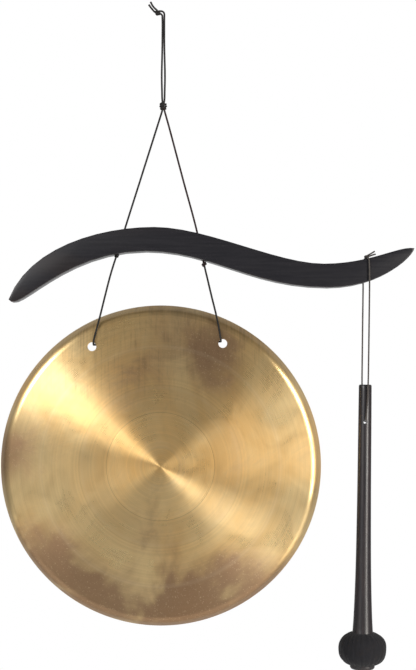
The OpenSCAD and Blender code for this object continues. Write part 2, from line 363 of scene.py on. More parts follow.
@dataclass(frozen=True)
class SpunBrass:
    """Lathe-brushed brass, part tarnished, with its brush lines running round the gong's axis; its colour
    also holds painted dark reflection in dark patches and a painted highlight tone.
    """

    centre: Point
    radius: float
    bright: Colour = tone(0.90, 0.55, 0.20)
    # Pale brass: the painted highlight tone.
    pale: Colour = tone(0.97, 0.74, 0.38)
    # Dark brown of tarnishing, also used as painted dark reflection.
    tarnish_and_shade: Colour = tone(0.34, 0.205, 0.125)
    smoke: Colour = tone(0.50, 0.36, 0.18)
    brushed: float = 0.03
    # The patches sit where the brushed reflection goes dark, above the middle and low to the left: part
    # tarnishing, part painted dark reflection.
    patches: tuple[Patch, ...] = (
        Patch(0.015, 0.1, 0.055, 0.5), Patch(0.045, 0.078, 0.04, 0.5), Patch(-0.02, 0.06, 0.04, 0.25),
        Patch(-0.118, 0.01, 0.05, 0.75), Patch(-0.09, -0.08, 0.06, 0.95), Patch(-0.035, -0.112, 0.065, 0.95),
        Patch(0.03, -0.115, 0.065, 1.0), Patch(0.075, -0.09, 0.045, 0.8), Patch(-0.01, -0.06, 0.04, 0.35),
    )

    def patch_share(self, s: Sheet, here: Socket, cloud: Socket, patch: Patch) -> Socket:
        """How much one patch darkens each place, as tarnishing and painted dark reflection, its edge broken
        up by the cloudiness.

        Args:
            s: the material's sheet.
            here: places from the gong's middle.
            cloud: the cloudiness, from 0 to 1.
            patch: the patch.

        Returns:
            The share, from 0 to the patch's strength.
        """
        away = s.node("ShaderNodeVectorMath", operation="DISTANCE")
        s.put(away.inputs[0], here)
        s.put(away.inputs[1], (patch.right, 0, patch.up))
        drift = s.maths("MULTIPLY", s.maths("SUBTRACT", cloud, 0.5), 0.09)
        far = s.maths("ADD", away.outputs["Value"], drift)
        return s.span(far, patch.reach, patch.reach * 0.1, 0, patch.strength)

    def material(self) -> bpy.types.Material:
        """Builds the brass."""
        s = Sheet("spun_brass")
        here = s.moved(tuple(-v for v in self.centre))
        split = s.node("ShaderNodeSeparateXYZ")
        s.put(split.inputs[0], here)
        x, _, z = split.outputs
        radius = s.maths("SQRT", s.maths("ADD", s.maths("MULTIPLY", x, x), s.maths("MULTIPLY", z, z)))
        share = s.maths("DIVIDE", radius, self.radius)
        ring = s.node("ShaderNodeCombineXYZ")
        s.put(ring.inputs[0], radius)
        fine = s.noise(ring.outputs[0], 2600, 2, 0.6)
        coarse = s.noise(ring.outputs[0], 420, 3, 0.6)
        band = s.noise(ring.outputs[0], 90, 2, 0.5)
        cloud = s.noise(here, 9, 4, 0.6, 0.6)
        stain = s.noise(here, 26, 5, 0.62, 0.9)
        tarnish_and_shade_share = s.maths("MULTIPLY", s.maths("SUBTRACT", stain, 0.5), 1.1)
        for patch in self.patches:
            tarnish_and_shade_share = s.maths("ADD", tarnish_and_shade_share, self.patch_share(s, here, cloud, patch))
        tarnish_and_shade_share = s.span(tarnish_and_shade_share, 0.0, 0.9)
        # Painted highlight: paler brass towards the rim, where the brushed highlights are brightest, mixed
        # with random cloudy tone.
        level = s.maths("ADD", s.maths("MULTIPLY", s.span(share, 0.1, 0.9), 0.35), s.span(cloud, 0.35, 0.65))
        colour = s.mix(s.maths("MULTIPLY", level, 0.7), self.bright, self.pale)
        colour = s.mix(s.span(stain, 0.48, 0.75, 0, 0.35), colour, self.smoke)
        # Random stain and the patches darken the brass: part tarnishing, part painted dark reflection.
        colour = s.mix(s.maths("MULTIPLY", tarnish_and_shade_share, 0.9), colour, self.tarnish_and_shade)
        inner = s.maths("MULTIPLY", s.span(radius, 0.0425, 0.0433), s.span(radius, 0.0655, 0.0648))
        colour = s.mix(s.maths("MULTIPLY", inner, 0.14), colour, tone(0.42, 0.28, 0.14))
        # Painted shade: a thin darker line along the groove at 43 mm.
        groove = s.span(s.maths("ABSOLUTE", s.maths("SUBTRACT", radius, 0.043)), 0.0, 0.0005, 1, 0)
        colour = s.mix(s.maths("MULTIPLY", groove, 0.35), colour, tone(0.24, 0.15, 0.08))
        lines = s.maths("ADD", s.maths("MULTIPLY", fine, 0.5), s.maths("MULTIPLY", coarse, 0.5))
        colour = s.mix(s.span(lines, 0.38, 0.62, 0.22, 0.0), colour, tone(0.3, 0.19, 0.1))
        strokes = s.noise(s.moved(scale=(430, 1, 26), turn=(0, -0.08, 0), source=here), 1, 4, 0.65, 0.4)
        strokes = s.maths("MULTIPLY", s.span(strokes, 0.45, 0.68), s.span(z, self.brushed, 0.09))
        strokes = s.maths("MULTIPLY", strokes, s.span(stain, 0.4, 0.6, 0.25, 1))
        colour = s.mix(s.maths("MULTIPLY", strokes, 0.42), colour, tone(0.30, 0.19, 0.10))
        specks = s.maths("MULTIPLY", s.span(s.noise(here, 900, 2, 0.6), 0.62, 0.7), s.span(tarnish_and_shade_share, 0.2, 0.7))
        colour = s.mix(s.maths("MULTIPLY", specks, 0.4), colour, tone(0.9, 0.72, 0.45))
        colour = s.mix(s.span(band, 0.55, 0.7, 0, 0.08), colour, tone(1.0, 0.85, 0.6))
        scratch = s.noise(s.moved(scale=(900, 1, 14), turn=(0, 0.62, 0), source=here), 1, 2, 0.5)
        scratch = s.span(scratch, 0.70, 0.76)
        scratch = s.maths("MULTIPLY", scratch, s.span(stain, 0.45, 0.6))
        rough = s.maths("ADD", s.span(stain, 0.3, 0.7, 0.27, 0.35), s.maths("MULTIPLY", tarnish_and_shade_share, 0.08))
        rough = s.maths("ADD", rough, s.maths("MULTIPLY", s.maths("SUBTRACT", fine, 0.5), 0.12))
        normal = s.bump(s.maths("ADD", s.maths("MULTIPLY", fine, 0.6), coarse), 0.00002, 0.8)
        normal = s.bump(scratch, 0.00003, 0.5, normal)
        tangent = s.node("ShaderNodeTangent", direction_type="RADIAL", axis="Y")
        s.surface(Base_Color=colour, Metallic=1.0, Roughness=rough, Normal=normal, Anisotropic=0.86,
                  Anisotropic_Rotation=0.25, Tangent=tangent.outputs[0])
        return s.material


@dataclass(frozen=True)
class StainedWood:
    """Close-grained wood stained black under a satin lacquer."""

    dark: Colour = tone(0.0045, 0.0042, 0.0068)
    light: Colour = tone(0.0068, 0.0062, 0.009)
    brown: Colour = tone(0.02, 0.013, 0.010)
    worn: Colour = tone(0.085, 0.03, 0.03)

    def material(self) -> bpy.types.Material:
        """Builds the beam's wood."""
        s = Sheet("black_stained_wood")
        grain = s.noise(s.moved(scale=(30, 260, 620)), 1, 5, 0.6, 0.3)
        pores = s.noise(s.moved(scale=(120, 1500, 2600)), 1, 2, 0.5)
        patch = s.noise(s.moved(scale=(11, 11, 26)), 1, 3, 0.5)
        colour = s.mix(s.span(grain, 0.35, 0.7), self.dark, self.light)
        split = s.node("ShaderNodeSeparateXYZ")
        s.put(split.inputs[0], s.place)
        warm = s.maths("MULTIPLY", s.span(split.outputs[0], 0.03, -0.09), s.span(patch, 0.4, 0.65))
        colour = s.mix(s.maths("MULTIPLY", warm, 0.35), colour, self.brown)
        bevel = s.node("ShaderNodeNewGeometry").outputs["Pointiness"]
        worn = s.maths("MULTIPLY", s.span(bevel, 0.52, 0.6), s.span(grain, 0.35, 0.6))
        colour = s.mix(s.maths("MULTIPLY", worn, 0.5), colour, self.worn)
        rough = s.span(grain, 0.3, 0.7, 0.36, 0.42)
        normal = s.bump(pores, 0.00006, 0.35)
        normal = s.bump(grain, 0.00005, 0.25, normal)
        s.surface(Base_Color=colour, Roughness=rough, Normal=normal, Coat_Weight=0.15, Coat_Roughness=0.25,
                  Specular_IOR_Level=0.3)
        return s.material


@dataclass(frozen=True)
class Lacquer:
    """Glossy black-brown lacquer over turned wood."""

    dark: Colour = tone(0.007, 0.005, 0.007)
    warm: Colour = tone(0.016, 0.009, 0.009)

    def material(self) -> bpy.types.Material:
        """Builds the mallet's lacquer."""
        s = Sheet("black_lacquer")
        grain = s.noise(s.moved(scale=(420, 420, 22)), 1, 4, 0.6, 0.3)
        specks = s.noise(s.place, 2400, 2, 0.6)
        colour = s.mix(s.span(grain, 0.4, 0.72), self.dark, self.warm)
        dull = s.span(specks, 0.5, 0.75)
        rough = s.maths("ADD", 0.34, s.maths("MULTIPLY", dull, 0.16))
        rough = s.maths("ADD", rough, s.span(grain, 0.35, 0.7, 0, 0.08))
        normal = s.bump(grain, 0.00005, 0.3)
        normal = s.bump(specks, 0.00002, 0.4, normal)
        s.surface(Base_Color=colour, Roughness=rough, Normal=normal, Coat_Weight=0.25, Coat_Roughness=0.3)
        return s.material


class CordTone(Enum):
    """The colours that the cords come in: their threads' light and dark, and the warmth of the dark."""

    NEUTRAL = ("black_cord", tone(0.005, 0.005, 0.005), tone(0.03, 0.028, 0.027))
    WARM = ("brown_black_cord", tone(0.009, 0.004, 0.0045), tone(0.045, 0.024, 0.024))
    DOUBLED = ("pale_cored_cord", tone(0.004, 0.004, 0.0045), tone(0.05, 0.046, 0.045))
    GREY = ("grey_brown_cord", tone(0.018, 0.015, 0.014), tone(0.10, 0.088, 0.08))


@dataclass(frozen=True)
class CordFinish:
    """Matt thread; its braid or twist follows the cord's own map."""

    shade: CordTone

    def material(self) -> bpy.types.Material:
        """Builds the thread."""
        name, dark, light = self.shade.value
        s = Sheet(name)
        lay = s.node("ShaderNodeAttribute", attribute_name="thread").outputs["Fac"]
        fibre = s.noise(s.place, 5200, 3, 0.7)
        patch = s.noise(s.place, 160, 3, 0.6)
        share = s.maths("MULTIPLY", s.span(lay, 0.15, 0.95), s.span(fibre, 0.25, 0.7, 0.55, 1))
        share = s.maths("MULTIPLY", share, s.span(patch, 0.3, 0.7, 0.6, 1))
        colour = s.mix(share, dark, light)
        rough = s.span(fibre, 0.3, 0.7, 0.62, 0.86)
        normal = s.bump(fibre, 0.00004, 0.5)
        s.surface(Base_Color=colour, Roughness=rough, Normal=normal, Sheen_Weight=0.03,
                  Specular_IOR_Level=0.2)
        return s.material


@dataclass(frozen=True)
class GatheredCloth:
    """Black close-knit cloth."""

    dark: Colour = tone(0.0035, 0.0035, 0.005)
    light: Colour = tone(0.022, 0.021, 0.027)
    warm: Colour = tone(0.018, 0.011, 0.008)

    def material(self) -> bpy.types.Material:
        """Builds the cloth."""
        s = Sheet("black_knit_cloth")
        where = s.node("ShaderNodeUVMap", uv_map="UVMap").outputs[0]
        knit = s.node("ShaderNodeTexWave", wave_type="BANDS", bands_direction="X", wave_profile="SIN")
        s.put(knit.inputs["Vector"], s.moved(scale=(34, 34, 34), source=where))
        knit.inputs["Scale"].default_value = 1.0
        knit.inputs["Distortion"].default_value = 1.2
        rows = s.node("ShaderNodeTexWave", wave_type="BANDS", bands_direction="Y", wave_profile="SIN")
        s.put(rows.inputs["Vector"], s.moved(scale=(15, 15, 15), source=where))
        rows.inputs["Scale"].default_value = 1.0
        weave = s.maths("MULTIPLY", knit.outputs["Fac"], rows.outputs["Fac"])
        fuzz = s.noise(s.place, 3200, 3, 0.7)
        patch = s.noise(s.place, 70, 3, 0.6)
        colour = s.mix(s.maths("MULTIPLY", weave, s.span(fuzz, 0.3, 0.7, 0.5, 1)), self.dark, self.light)
        colour = s.mix(s.span(patch, 0.5, 0.75, 0, 0.3), colour, self.warm)
        normal = s.bump(fuzz, 0.00008, 0.6)
        normal = s.bump(weave, 0.00012, 0.7, normal)
        s.surface(Base_Color=colour, Roughness=s.span(fuzz, 0.3, 0.7, 0.7, 0.92), Normal=normal,
                  Sheen_Weight=0.06, Sheen_Roughness=0.5, Specular_IOR_Level=0.25)
        return s.material


@dataclass(frozen=True)
class WoundFelt:
    """The wool wound round the mallet's core."""

    pale: Colour = tone(0.48, 0.44, 0.37)
    dark: Colour = tone(0.30, 0.27, 0.22)

    def material(self) -> bpy.types.Material:
        """Builds the felt."""
        s = Sheet("wound_felt")
        wool = s.noise(s.moved(scale=(1, 1, 6)), 420, 4, 0.7, 1.5)
        s.surface(Base_Color=s.mix(wool, self.dark, self.pale), Roughness=s.span(wool, 0.3, 0.7, 0.85, 0.97),
                  Normal=s.bump(wool, 0.0003, 0.7))
        return s.material


# ------------------------------------------------------------------------------------------ studio


@dataclass
class Studio:
    """Camera, soft lights, surroundings and floor."""

    eye: Point = (0.0355, -1.1, -0.29)
    picture: Point = (0.0355, 0.0, -0.2556)
    picture_height: float = 0.53265
    sensor: float = 36.0
    floor_drop: float = 0.25
    floor_half: float = 1.1
    gong: Point = (0, 0, -0.36)

    def camera(self) -> None:
        """Sets up the level camera; its small shift only frames the picture."""
        data = bpy.data.cameras.new("camera")
        distance = self.picture[1] - self.eye[1]
        data.sensor_width = self.sensor
        data.lens = self.sensor * distance / self.picture_height
        data.shift_y = (self.picture[2] - self.eye[2]) / self.picture_height
        item = bpy.data.objects.new("camera", data)
        item.location = self.eye
        item.rotation_euler = (math.pi / 2, 0, 0)
        bpy.context.scene.collection.objects.link(item)
        bpy.context.scene.camera = item

    def light(self, name: str, tilt: float, bearing: float, distance: float, size: tuple[float, float],
              power: float, colour: Point = (1, 1, 1)) -> None:
        """Hangs one soft box facing the gong.

        Args:
            name: the lamp's name.
            tilt: degrees off the gong's own axis.
            bearing: degrees round that axis, 0 to the right and 90 up.
            distance: metres from the gong.
            size: width and height of the box.
            power: watts.
            colour: the light's colour.
        """
        data = bpy.data.lights.new(name, "AREA")
        data.shape = "RECTANGLE"
        data.size, data.size_y = size
        data.energy = power
        data.color = colour
        item = bpy.data.objects.new(name, data)
        t, b = math.radians(tilt), math.radians(bearing)
        way = Vector((math.sin(t) * math.cos(b), -math.cos(t), math.sin(t) * math.sin(b)))
        item.location = Vector(self.gong) + way * distance
        item.rotation_mode = "QUATERNION"
        item.rotation_quaternion = way.to_track_quat("Z", "Y")
        bpy.context.scene.collection.objects.link(item)

    def surroundings(self) -> None:
        """White behind the object and dimmer in front of it, as a product table's surroundings are."""
        world = bpy.data.worlds.new("surroundings")
        world.use_nodes = True
        bpy.context.scene.world = world
        tree = world.node_tree
        back = tree.nodes["Background"]
        where = tree.nodes.new("ShaderNodeTexCoord")
        split = tree.nodes.new("ShaderNodeSeparateXYZ")
        tree.links.new(where.outputs["Generated"], split.inputs[0])
        behind = tree.nodes.new("ShaderNodeMapRange")
        behind.interpolation_type = "SMOOTHSTEP"
        tree.links.new(split.outputs[1], behind.inputs[0])
        for socket, value in zip(behind.inputs[1:5], (0.86, 0.97, 0.26, 1.0)):
            socket.default_value = value
        seen = tree.nodes.new("ShaderNodeLightPath").outputs["Is Camera Ray"]
        level = tree.nodes.new("ShaderNodeMath")
        level.operation = "MAXIMUM"
        tree.links.new(behind.outputs[0], level.inputs[0])
        tree.links.new(seen, level.inputs[1])
        tree.links.new(level.outputs[0], back.inputs["Strength"])
        back.inputs["Color"].default_value = (1, 1, 1, 1)

    def floor(self) -> None:
        """Lays the plain pale floor below the object."""
        s = Sheet("pale_floor")
        cloud = s.noise(s.place, 3, 2, 0.5)
        s.surface(Base_Color=s.mix(cloud, tone(0.93, 0.93, 0.93), tone(0.95, 0.95, 0.95)), Roughness=0.9)
        bm = bmesh.new()
        bmesh.ops.create_grid(bm, x_segments=4, y_segments=4, size=self.floor_half)
        bmesh.ops.translate(bm, verts=bm.verts, vec=(0, 0, CAD_BOX[0].z - self.floor_drop))
        item = new_object("floor", mesh_from(bm), s.material)

    def build(self) -> None:
        """Sets the whole scene round the object."""
        self.camera()
        self.surroundings()
        self.floor()
        self.light("upper_left_box", 38, 151, 1.5, (0.3, 0.3), 12)
        self.light("right_box", 48, 11, 1.2, (0.2, 0.85), 14, (1.0, 0.96, 0.9))
        bpy.context.scene.view_settings.view_transform = "Standard"
        log.info("studio: camera, floor, two soft boxes")


# ------------------------------------------------------------------------------------------- cords


class Lay(Enum):
    """How a cord's threads run: a round braid, or plies twisted together."""

    BRAID = "braid"
    TWIST = "twist"


@dataclass
class CordStock:
    """Cord off the reel: its size, its lay and how a run of it is made."""

    diameter: float
    lay: Lay
    relief: float = 0.09
    sides: int = 16
    step: float = 0.00022
    declared_every: int = 4

    def thread(self, along: np.ndarray, around: np.ndarray) -> np.ndarray:
        """How proud the threads stand, from 0 to 1.

        Args:
            along: distance along the cord, in cord diameters.
            around: angle about the cord's centre, in radians.

        Returns:
            The height at each place.
        """
        if self.lay is Lay.BRAID:
            left = np.abs(np.sin(2 * around + math.tau * along * 0.42))
            right = np.abs(np.sin(2 * around - math.tau * along * 0.42))
            return np.maximum(left, right) ** 2 * (0.55 + 0.45 * np.minimum(left, right))
        return np.abs(np.sin(1.5 * around + math.tau * along * 0.5)) ** 0.8

    def run(self, name: str, path: Sequence[Vector], material: bpy.types.Material) -> bpy.types.Object:
        """Makes one run of the cord.

        Args:
            name: the piece's name.
            path: the points of its centre line, evenly spaced.
            material: its thread.

        Returns:
            The piece, closed at both ends, with the threads standing proud in its mesh.
        """
        line = bpy.data.curves.new(name, "CURVE")
        line.dimensions = "3D"
        line.twist_mode = "MINIMUM"
        line.bevel_depth = self.diameter / 2
        line.bevel_resolution = self.sides // 2 - 2
        spline = line.splines.new("POLY")
        spline.points.add(len(path) - 1)
        spline.points.foreach_set("co", [v for p in path for v in (*p, 1.0)])
        holder = bpy.data.objects.new(name + "_line", line)
        bpy.context.scene.collection.objects.link(holder)
        graph = bpy.context.evaluated_depsgraph_get()
        mesh = bpy.data.meshes.new_from_object(holder.evaluated_get(graph))
        bpy.data.objects.remove(holder)
        self.dress(mesh, path)
        bm = bmesh.new()
        bm.from_mesh(mesh)
        bmesh.ops.holes_fill(bm, edges=[e for e in bm.edges if e.is_boundary], sides=0)
        return new_object(name, mesh_from(bm, 60), material)

    def dress(self, mesh: bpy.types.Mesh, path: Sequence[Vector]) -> None:
        """Raises the threads of a plain tube and notes their height on it.

        Args:
            mesh: the tube, ring after ring along the path.
            path: the points of its centre line.
        """
        count = len(mesh.vertices)
        places = np.empty(count * 3)
        mesh.vertices.foreach_get("co", places)
        places = places.reshape(-1, 3)
        sides = count // len(path)
        ring = np.minimum(np.arange(count) // sides, len(path) - 1)
        centres = np.array([tuple(p) for p in path])[ring]
        run = np.cumsum([0.0] + [(b - a).length for a, b in zip(path, path[1:])])[ring]
        around = math.tau * (np.arange(count) % sides) / sides
        height = self.thread(run / self.diameter, around)
        places = centres + (places - centres) * (1 + self.relief * (height - 0.5))[:, None]
        mesh.vertices.foreach_set("co", places.ravel())
        mesh.attributes.new("thread", "FLOAT", "POINT").data.foreach_set("value", height)

    def declare(self, piece: bpy.types.Object, path: Sequence[Vector], far_end: str, lay: str,
                *with_pieces: bpy.types.Object) -> None:
        """Does nothing: no piece is declared as a cord here.

        Args:
            piece: the cord's piece; not used.
            path: the points of its centre line; not used.
            far_end: what its far end is; not used.
            lay: how it lies; not used.
            with_pieces: the separate pieces on it, such as its knots; not used.
        """


def wrap(centre: Point, r: float, pitch: float, turns: float, tilt: float = 0.0, start: float = 0.0,
         squash: float = 1.0) -> list[Point]:
    """The route of the part of a knot that wraps round the cord, its two ends tucked inside.

    Args:
        centre: the knot's middle.
        r: radius of the wrap's centre line.
        pitch: rise of each turn.
        turns: number of turns.
        tilt: lean of the whole wrap, in degrees, to the right.
        start: angle of the first turn, in degrees.
        squash: depth of the wrap against its width.

    Returns:
        The route's points.
    """
    lean = Matrix.Rotation(math.radians(tilt), 3, "Y")
    steps = round(turns * 12)
    points: list[Point] = []
    for i in range(-2, steps + 3):
        t = min(max(i, 0), steps) / steps
        tuck = {-2: 0.1, -1: 0.6, steps + 1: 0.6, steps + 2: 0.1}.get(i, 1.0)
        a = math.radians(start) + math.tau * turns * i / steps
        place = Vector((tuck * r * math.cos(a), tuck * r * math.sin(a) * squash, (t - 0.5) * turns * pitch))
        points.append(tuple(Vector(centre) + lean @ place))
    return points


def body_piece(piece: bpy.types.Object, body: str, slot: str, *nodes: str) -> bpy.types.Object:
    """Rides a piece on its body, in place of CAD nodes."""
    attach(piece, body)
    stands_for(piece, slot, *nodes)
    log.info("%s rides on %s: %d vertices", piece.name, body, len(piece.data.vertices))
    return piece


def bending_piece(piece: bpy.types.Object, bodies: tuple[str, str], start: Point, end: Point) -> None:
    """Bakes a piece's transform into its mesh; nothing blends it across the joint between the two bodies.

    Args:
        piece: the finished piece.
        bodies: the body at its start and the one at its end.
        start: where it stops following the first; not used.
        end: where it follows only the second; not used.
    """
    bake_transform(piece)
    log.info("%s bends between %s and %s: %d vertices", piece.name, *bodies, len(piece.data.vertices))


def stands_for(piece: bpy.types.Object, slot: str, *nodes: str) -> None:
    """Hides the CAD nodes that a piece takes the place of; it names no material slot."""
    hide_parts(*nodes)


@dataclass
class HangingCord:
    """The braided cord that carries the beam and the gong, run by run from the hook down."""

    stock: CordStock = field(default_factory=lambda: CordStock(0.0015, Lay.BRAID))
    tail_upper: tuple = ((-0.0102, 0, 0.0092), (-0.008, 0, 0.0054), (-0.0054, -0.0004, 0.0027))
    tail_lower: tuple = ((-0.0116, 0, 0.007), (-0.0092, 0, 0.0038), (-0.0064, 0.0004, 0.0011))
    knot_upper: tuple = ((-0.0035, -0.0014, 0.0013), (-0.0036, -0.0007, -0.0006), (-0.0052, 0.0008, -0.0007),
                         (-0.0059, 0.0014, 0.0010), (-0.0050, 0.0011, 0.0026))
    knot_lower: tuple = ((-0.0056, -0.0013, 0.0014), (-0.0047, -0.0016, -0.0005), (-0.0032, -0.0004, -0.0008),
                         (-0.0029, 0.0012, 0.0008), (-0.0042, 0.0013, 0.0018))
    bend_outer: tuple = ((-0.0034, 0.0002, 0.0018), (-0.0014, 0, 0.0018), (0.0002, 0, 0.0009),
                         (0.0008, 0, -0.0008), (0.0008, 0, -0.0027))
    bend_inner: tuple = ((-0.003, 0, 0), (-0.0019, 0, -0.0005), (-0.001, 0, -0.0014), (-0.0008, 0, -0.0027))
    strand: tuple = ((0.0008, 0, -0.0033), (0.0008, 0, -0.025), (0.0013, 0, -0.05), (0.0011, 0, -0.061),
                     (0.0008, 0, -0.0695))
    upper_left: tuple = ((-0.001, 0, -0.0776), (-0.0044, 0, -0.0885), (-0.0173, 0, -0.1293),
                         (-0.0302, 0, -0.17), (-0.0368, 0, -0.1914))
    upper_right: tuple = ((0.001, 0, -0.0776), (0.0042, 0, -0.089), (0.0155, 0, -0.1315), (0.0264, 0, -0.172),
                          (0.0318, 0, -0.1972))
    sling: tuple = (
        (-0.038, 0, -0.195), (-0.042, -0.0008, -0.208), (-0.0463, -0.0018, -0.225),
        (-0.0502, -0.0027, -0.241), (-0.0536, -0.0031, -0.254), (-0.0552, -0.003, -0.2604),
        (-0.0554, -0.0026, -0.2619),
        (-0.0554, -0.0015, -0.263), (-0.0554, 0, -0.2634), (-0.055, 0.0015, -0.2634),
        (-0.0539, 0.0026, -0.2633), (-0.0524, 0.003, -0.2633), (-0.004, 0.003, -0.2621),
        (0.0427, 0.003, -0.2608), (0.0442, 0.0026, -0.2608), (0.0453, 0.0015, -0.2608),
        (0.0457, 0, -0.2608), (0.0457, -0.0015, -0.2604), (0.0457, -0.0026, -0.2593),
        (0.0454, -0.003, -0.2578), (0.0443, -0.0031, -0.251), (0.0417, -0.0026, -0.2385),
        (0.0386, -0.0018, -0.226), (0.0353, -0.0007, -0.212), (0.0329, 0, -0.2018))
    gather_at: Point = (0, 0, -0.0735)
    gather_in: Point = (0.0002, 0.0, -0.0722)
    hook_bend: tuple = ((0, 0, -0.001), (0, 0, -0.008))
    stop_left_at: Point = (-0.037, 0, -0.1926)
    stop_right_at: Point = (0.0324, 0, -0.1993)

    def top(self, doubled: bpy.types.Material) -> None:
        """The two strands, from the gather knot over the hook, through the tie knot and out as tails."""
        right = [self.gather_in, *reversed(self.strand)]
        left = [(-x, y, z) for x, y, z in right]
        routes = {
            "hanging_strand_right": [*right, *reversed(self.bend_outer[:-1]), *self.knot_upper,
                                     *reversed(self.tail_upper)],
            "hanging_strand_left": [*left, *reversed(self.bend_inner[:-1]), *self.knot_lower,
                                    *reversed(self.tail_lower)],
        }
        nodes = {
            "hanging_strand_right": ("loop_strand_right", "hook_bend", "tie_tail_upper"),
            "hanging_strand_left": ("loop_strand_left", "tie_knot", "tie_tail_lower"),
        }
        for name, route in routes.items():
            path = smooth_route(route, self.stock.step)
            piece = self.stock.run(name, path, doubled)
            stands_for(piece, "hanging_cord", *nodes[name])
            self.stock.declare(piece, path, "knot", "taut")
            bending_piece(piece, ("hook_knot", "hanging_loop"), *self.hook_bend)

    def gather(self, doubled: bpy.types.Material) -> bpy.types.Object:
        """The knot that gathers both strands: one doubled wrap."""
        x, y, z = self.gather_at
        pair = []
        for number, (rise, swell) in enumerate(((0.0008, 0.0), (-0.0008, 0.0002))):
            route = wrap((x, y, z + rise), 0.0021 + swell, pitch=0.0019, turns=1.7, tilt=-14,
                         start=40 + 16 * number, squash=0.85)
            pair.append(self.stock.run(f"gather_{number}", smooth_route(route, self.stock.step), doubled))
        piece = joined("gather_knot_wrap", pair)
        return body_piece(piece, "gather", "hanging_cord", "gather_knot")

    def stop(self, side: str, at: Point, r: float, tilt: float,
             material: bpy.types.Material) -> bpy.types.Object:
        """The stop knot under one of the beam's holes."""
        route = wrap(at, r, pitch=0.0013, turns=1.6, tilt=tilt, start=200, squash=0.9)
        piece = self.stock.run(f"stop_knot_wrap_{side}", smooth_route(route, self.stock.step), material)
        return body_piece(piece, "beam", "hanging_cord", f"stop_knot_{side}")

    def build(self) -> None:
        """Makes every run and knot of the hanging cord."""
        neutral = CordFinish(CordTone.NEUTRAL).material()
        warm = CordFinish(CordTone.WARM).material()
        doubled = CordFinish(CordTone.DOUBLED).material()
        self.top(doubled)
        gather = self.gather(doubled)
        left_knot = self.stop("left", self.stop_left_at, 0.00095, 24, neutral)
        right_knot = self.stop("right", self.stop_right_at, 0.0014, -28, warm)
        for side, route, stop_at, material, knots in (
            ("left", self.upper_left, self.stop_left_at, neutral, [left_knot, gather]),
            ("right", self.upper_right, self.stop_right_at, warm, [right_knot]),
        ):
            inside = Vector(self.gather_at) + Vector((0.3 * route[0][0], 0, -0.001))
            path = smooth_route([tuple(inside), *route, stop_at], self.stock.step)
            piece = self.stock.run(f"upper_run_{side}", path, material)
            body_piece(piece, "beam", "hanging_cord", f"upper_cord_{side}")
            self.stock.declare(piece, path, "knot", "taut", *knots)
        route = [self.stop_left_at, *self.sling, self.stop_right_at]
        path = smooth_route(route, self.stock.step)
        piece = self.stock.run("gong_sling_run", path, neutral)
        body_piece(piece, "gong_sling", "hanging_cord", "gong_cord")
        self.stock.declare(piece, path, "knot", "taut")


def joined(name: str, parts: Sequence[bpy.types.Object]) -> bpy.types.Object:
    """Joins objects of one material into one piece, keeping their attributes."""
    with bpy.context.temp_override(active_object=parts[0], object=parts[0],
                                   selected_editable_objects=list(parts)):
        bpy.ops.object.join()
    parts[0].name = name
    parts[0].data.name = name
    return parts[0]


@dataclass(frozen=True)
class LoopEnd:
    """One end of the mallet's cord, from beside the beam up to the knot and out as a tail."""

    name: str
    nodes: tuple[str, ...]
    side: tuple[Point, ...]
    bight: tuple[Point, ...]
    tail: tuple[Point, ...]
    bend: tuple[Point, Point]


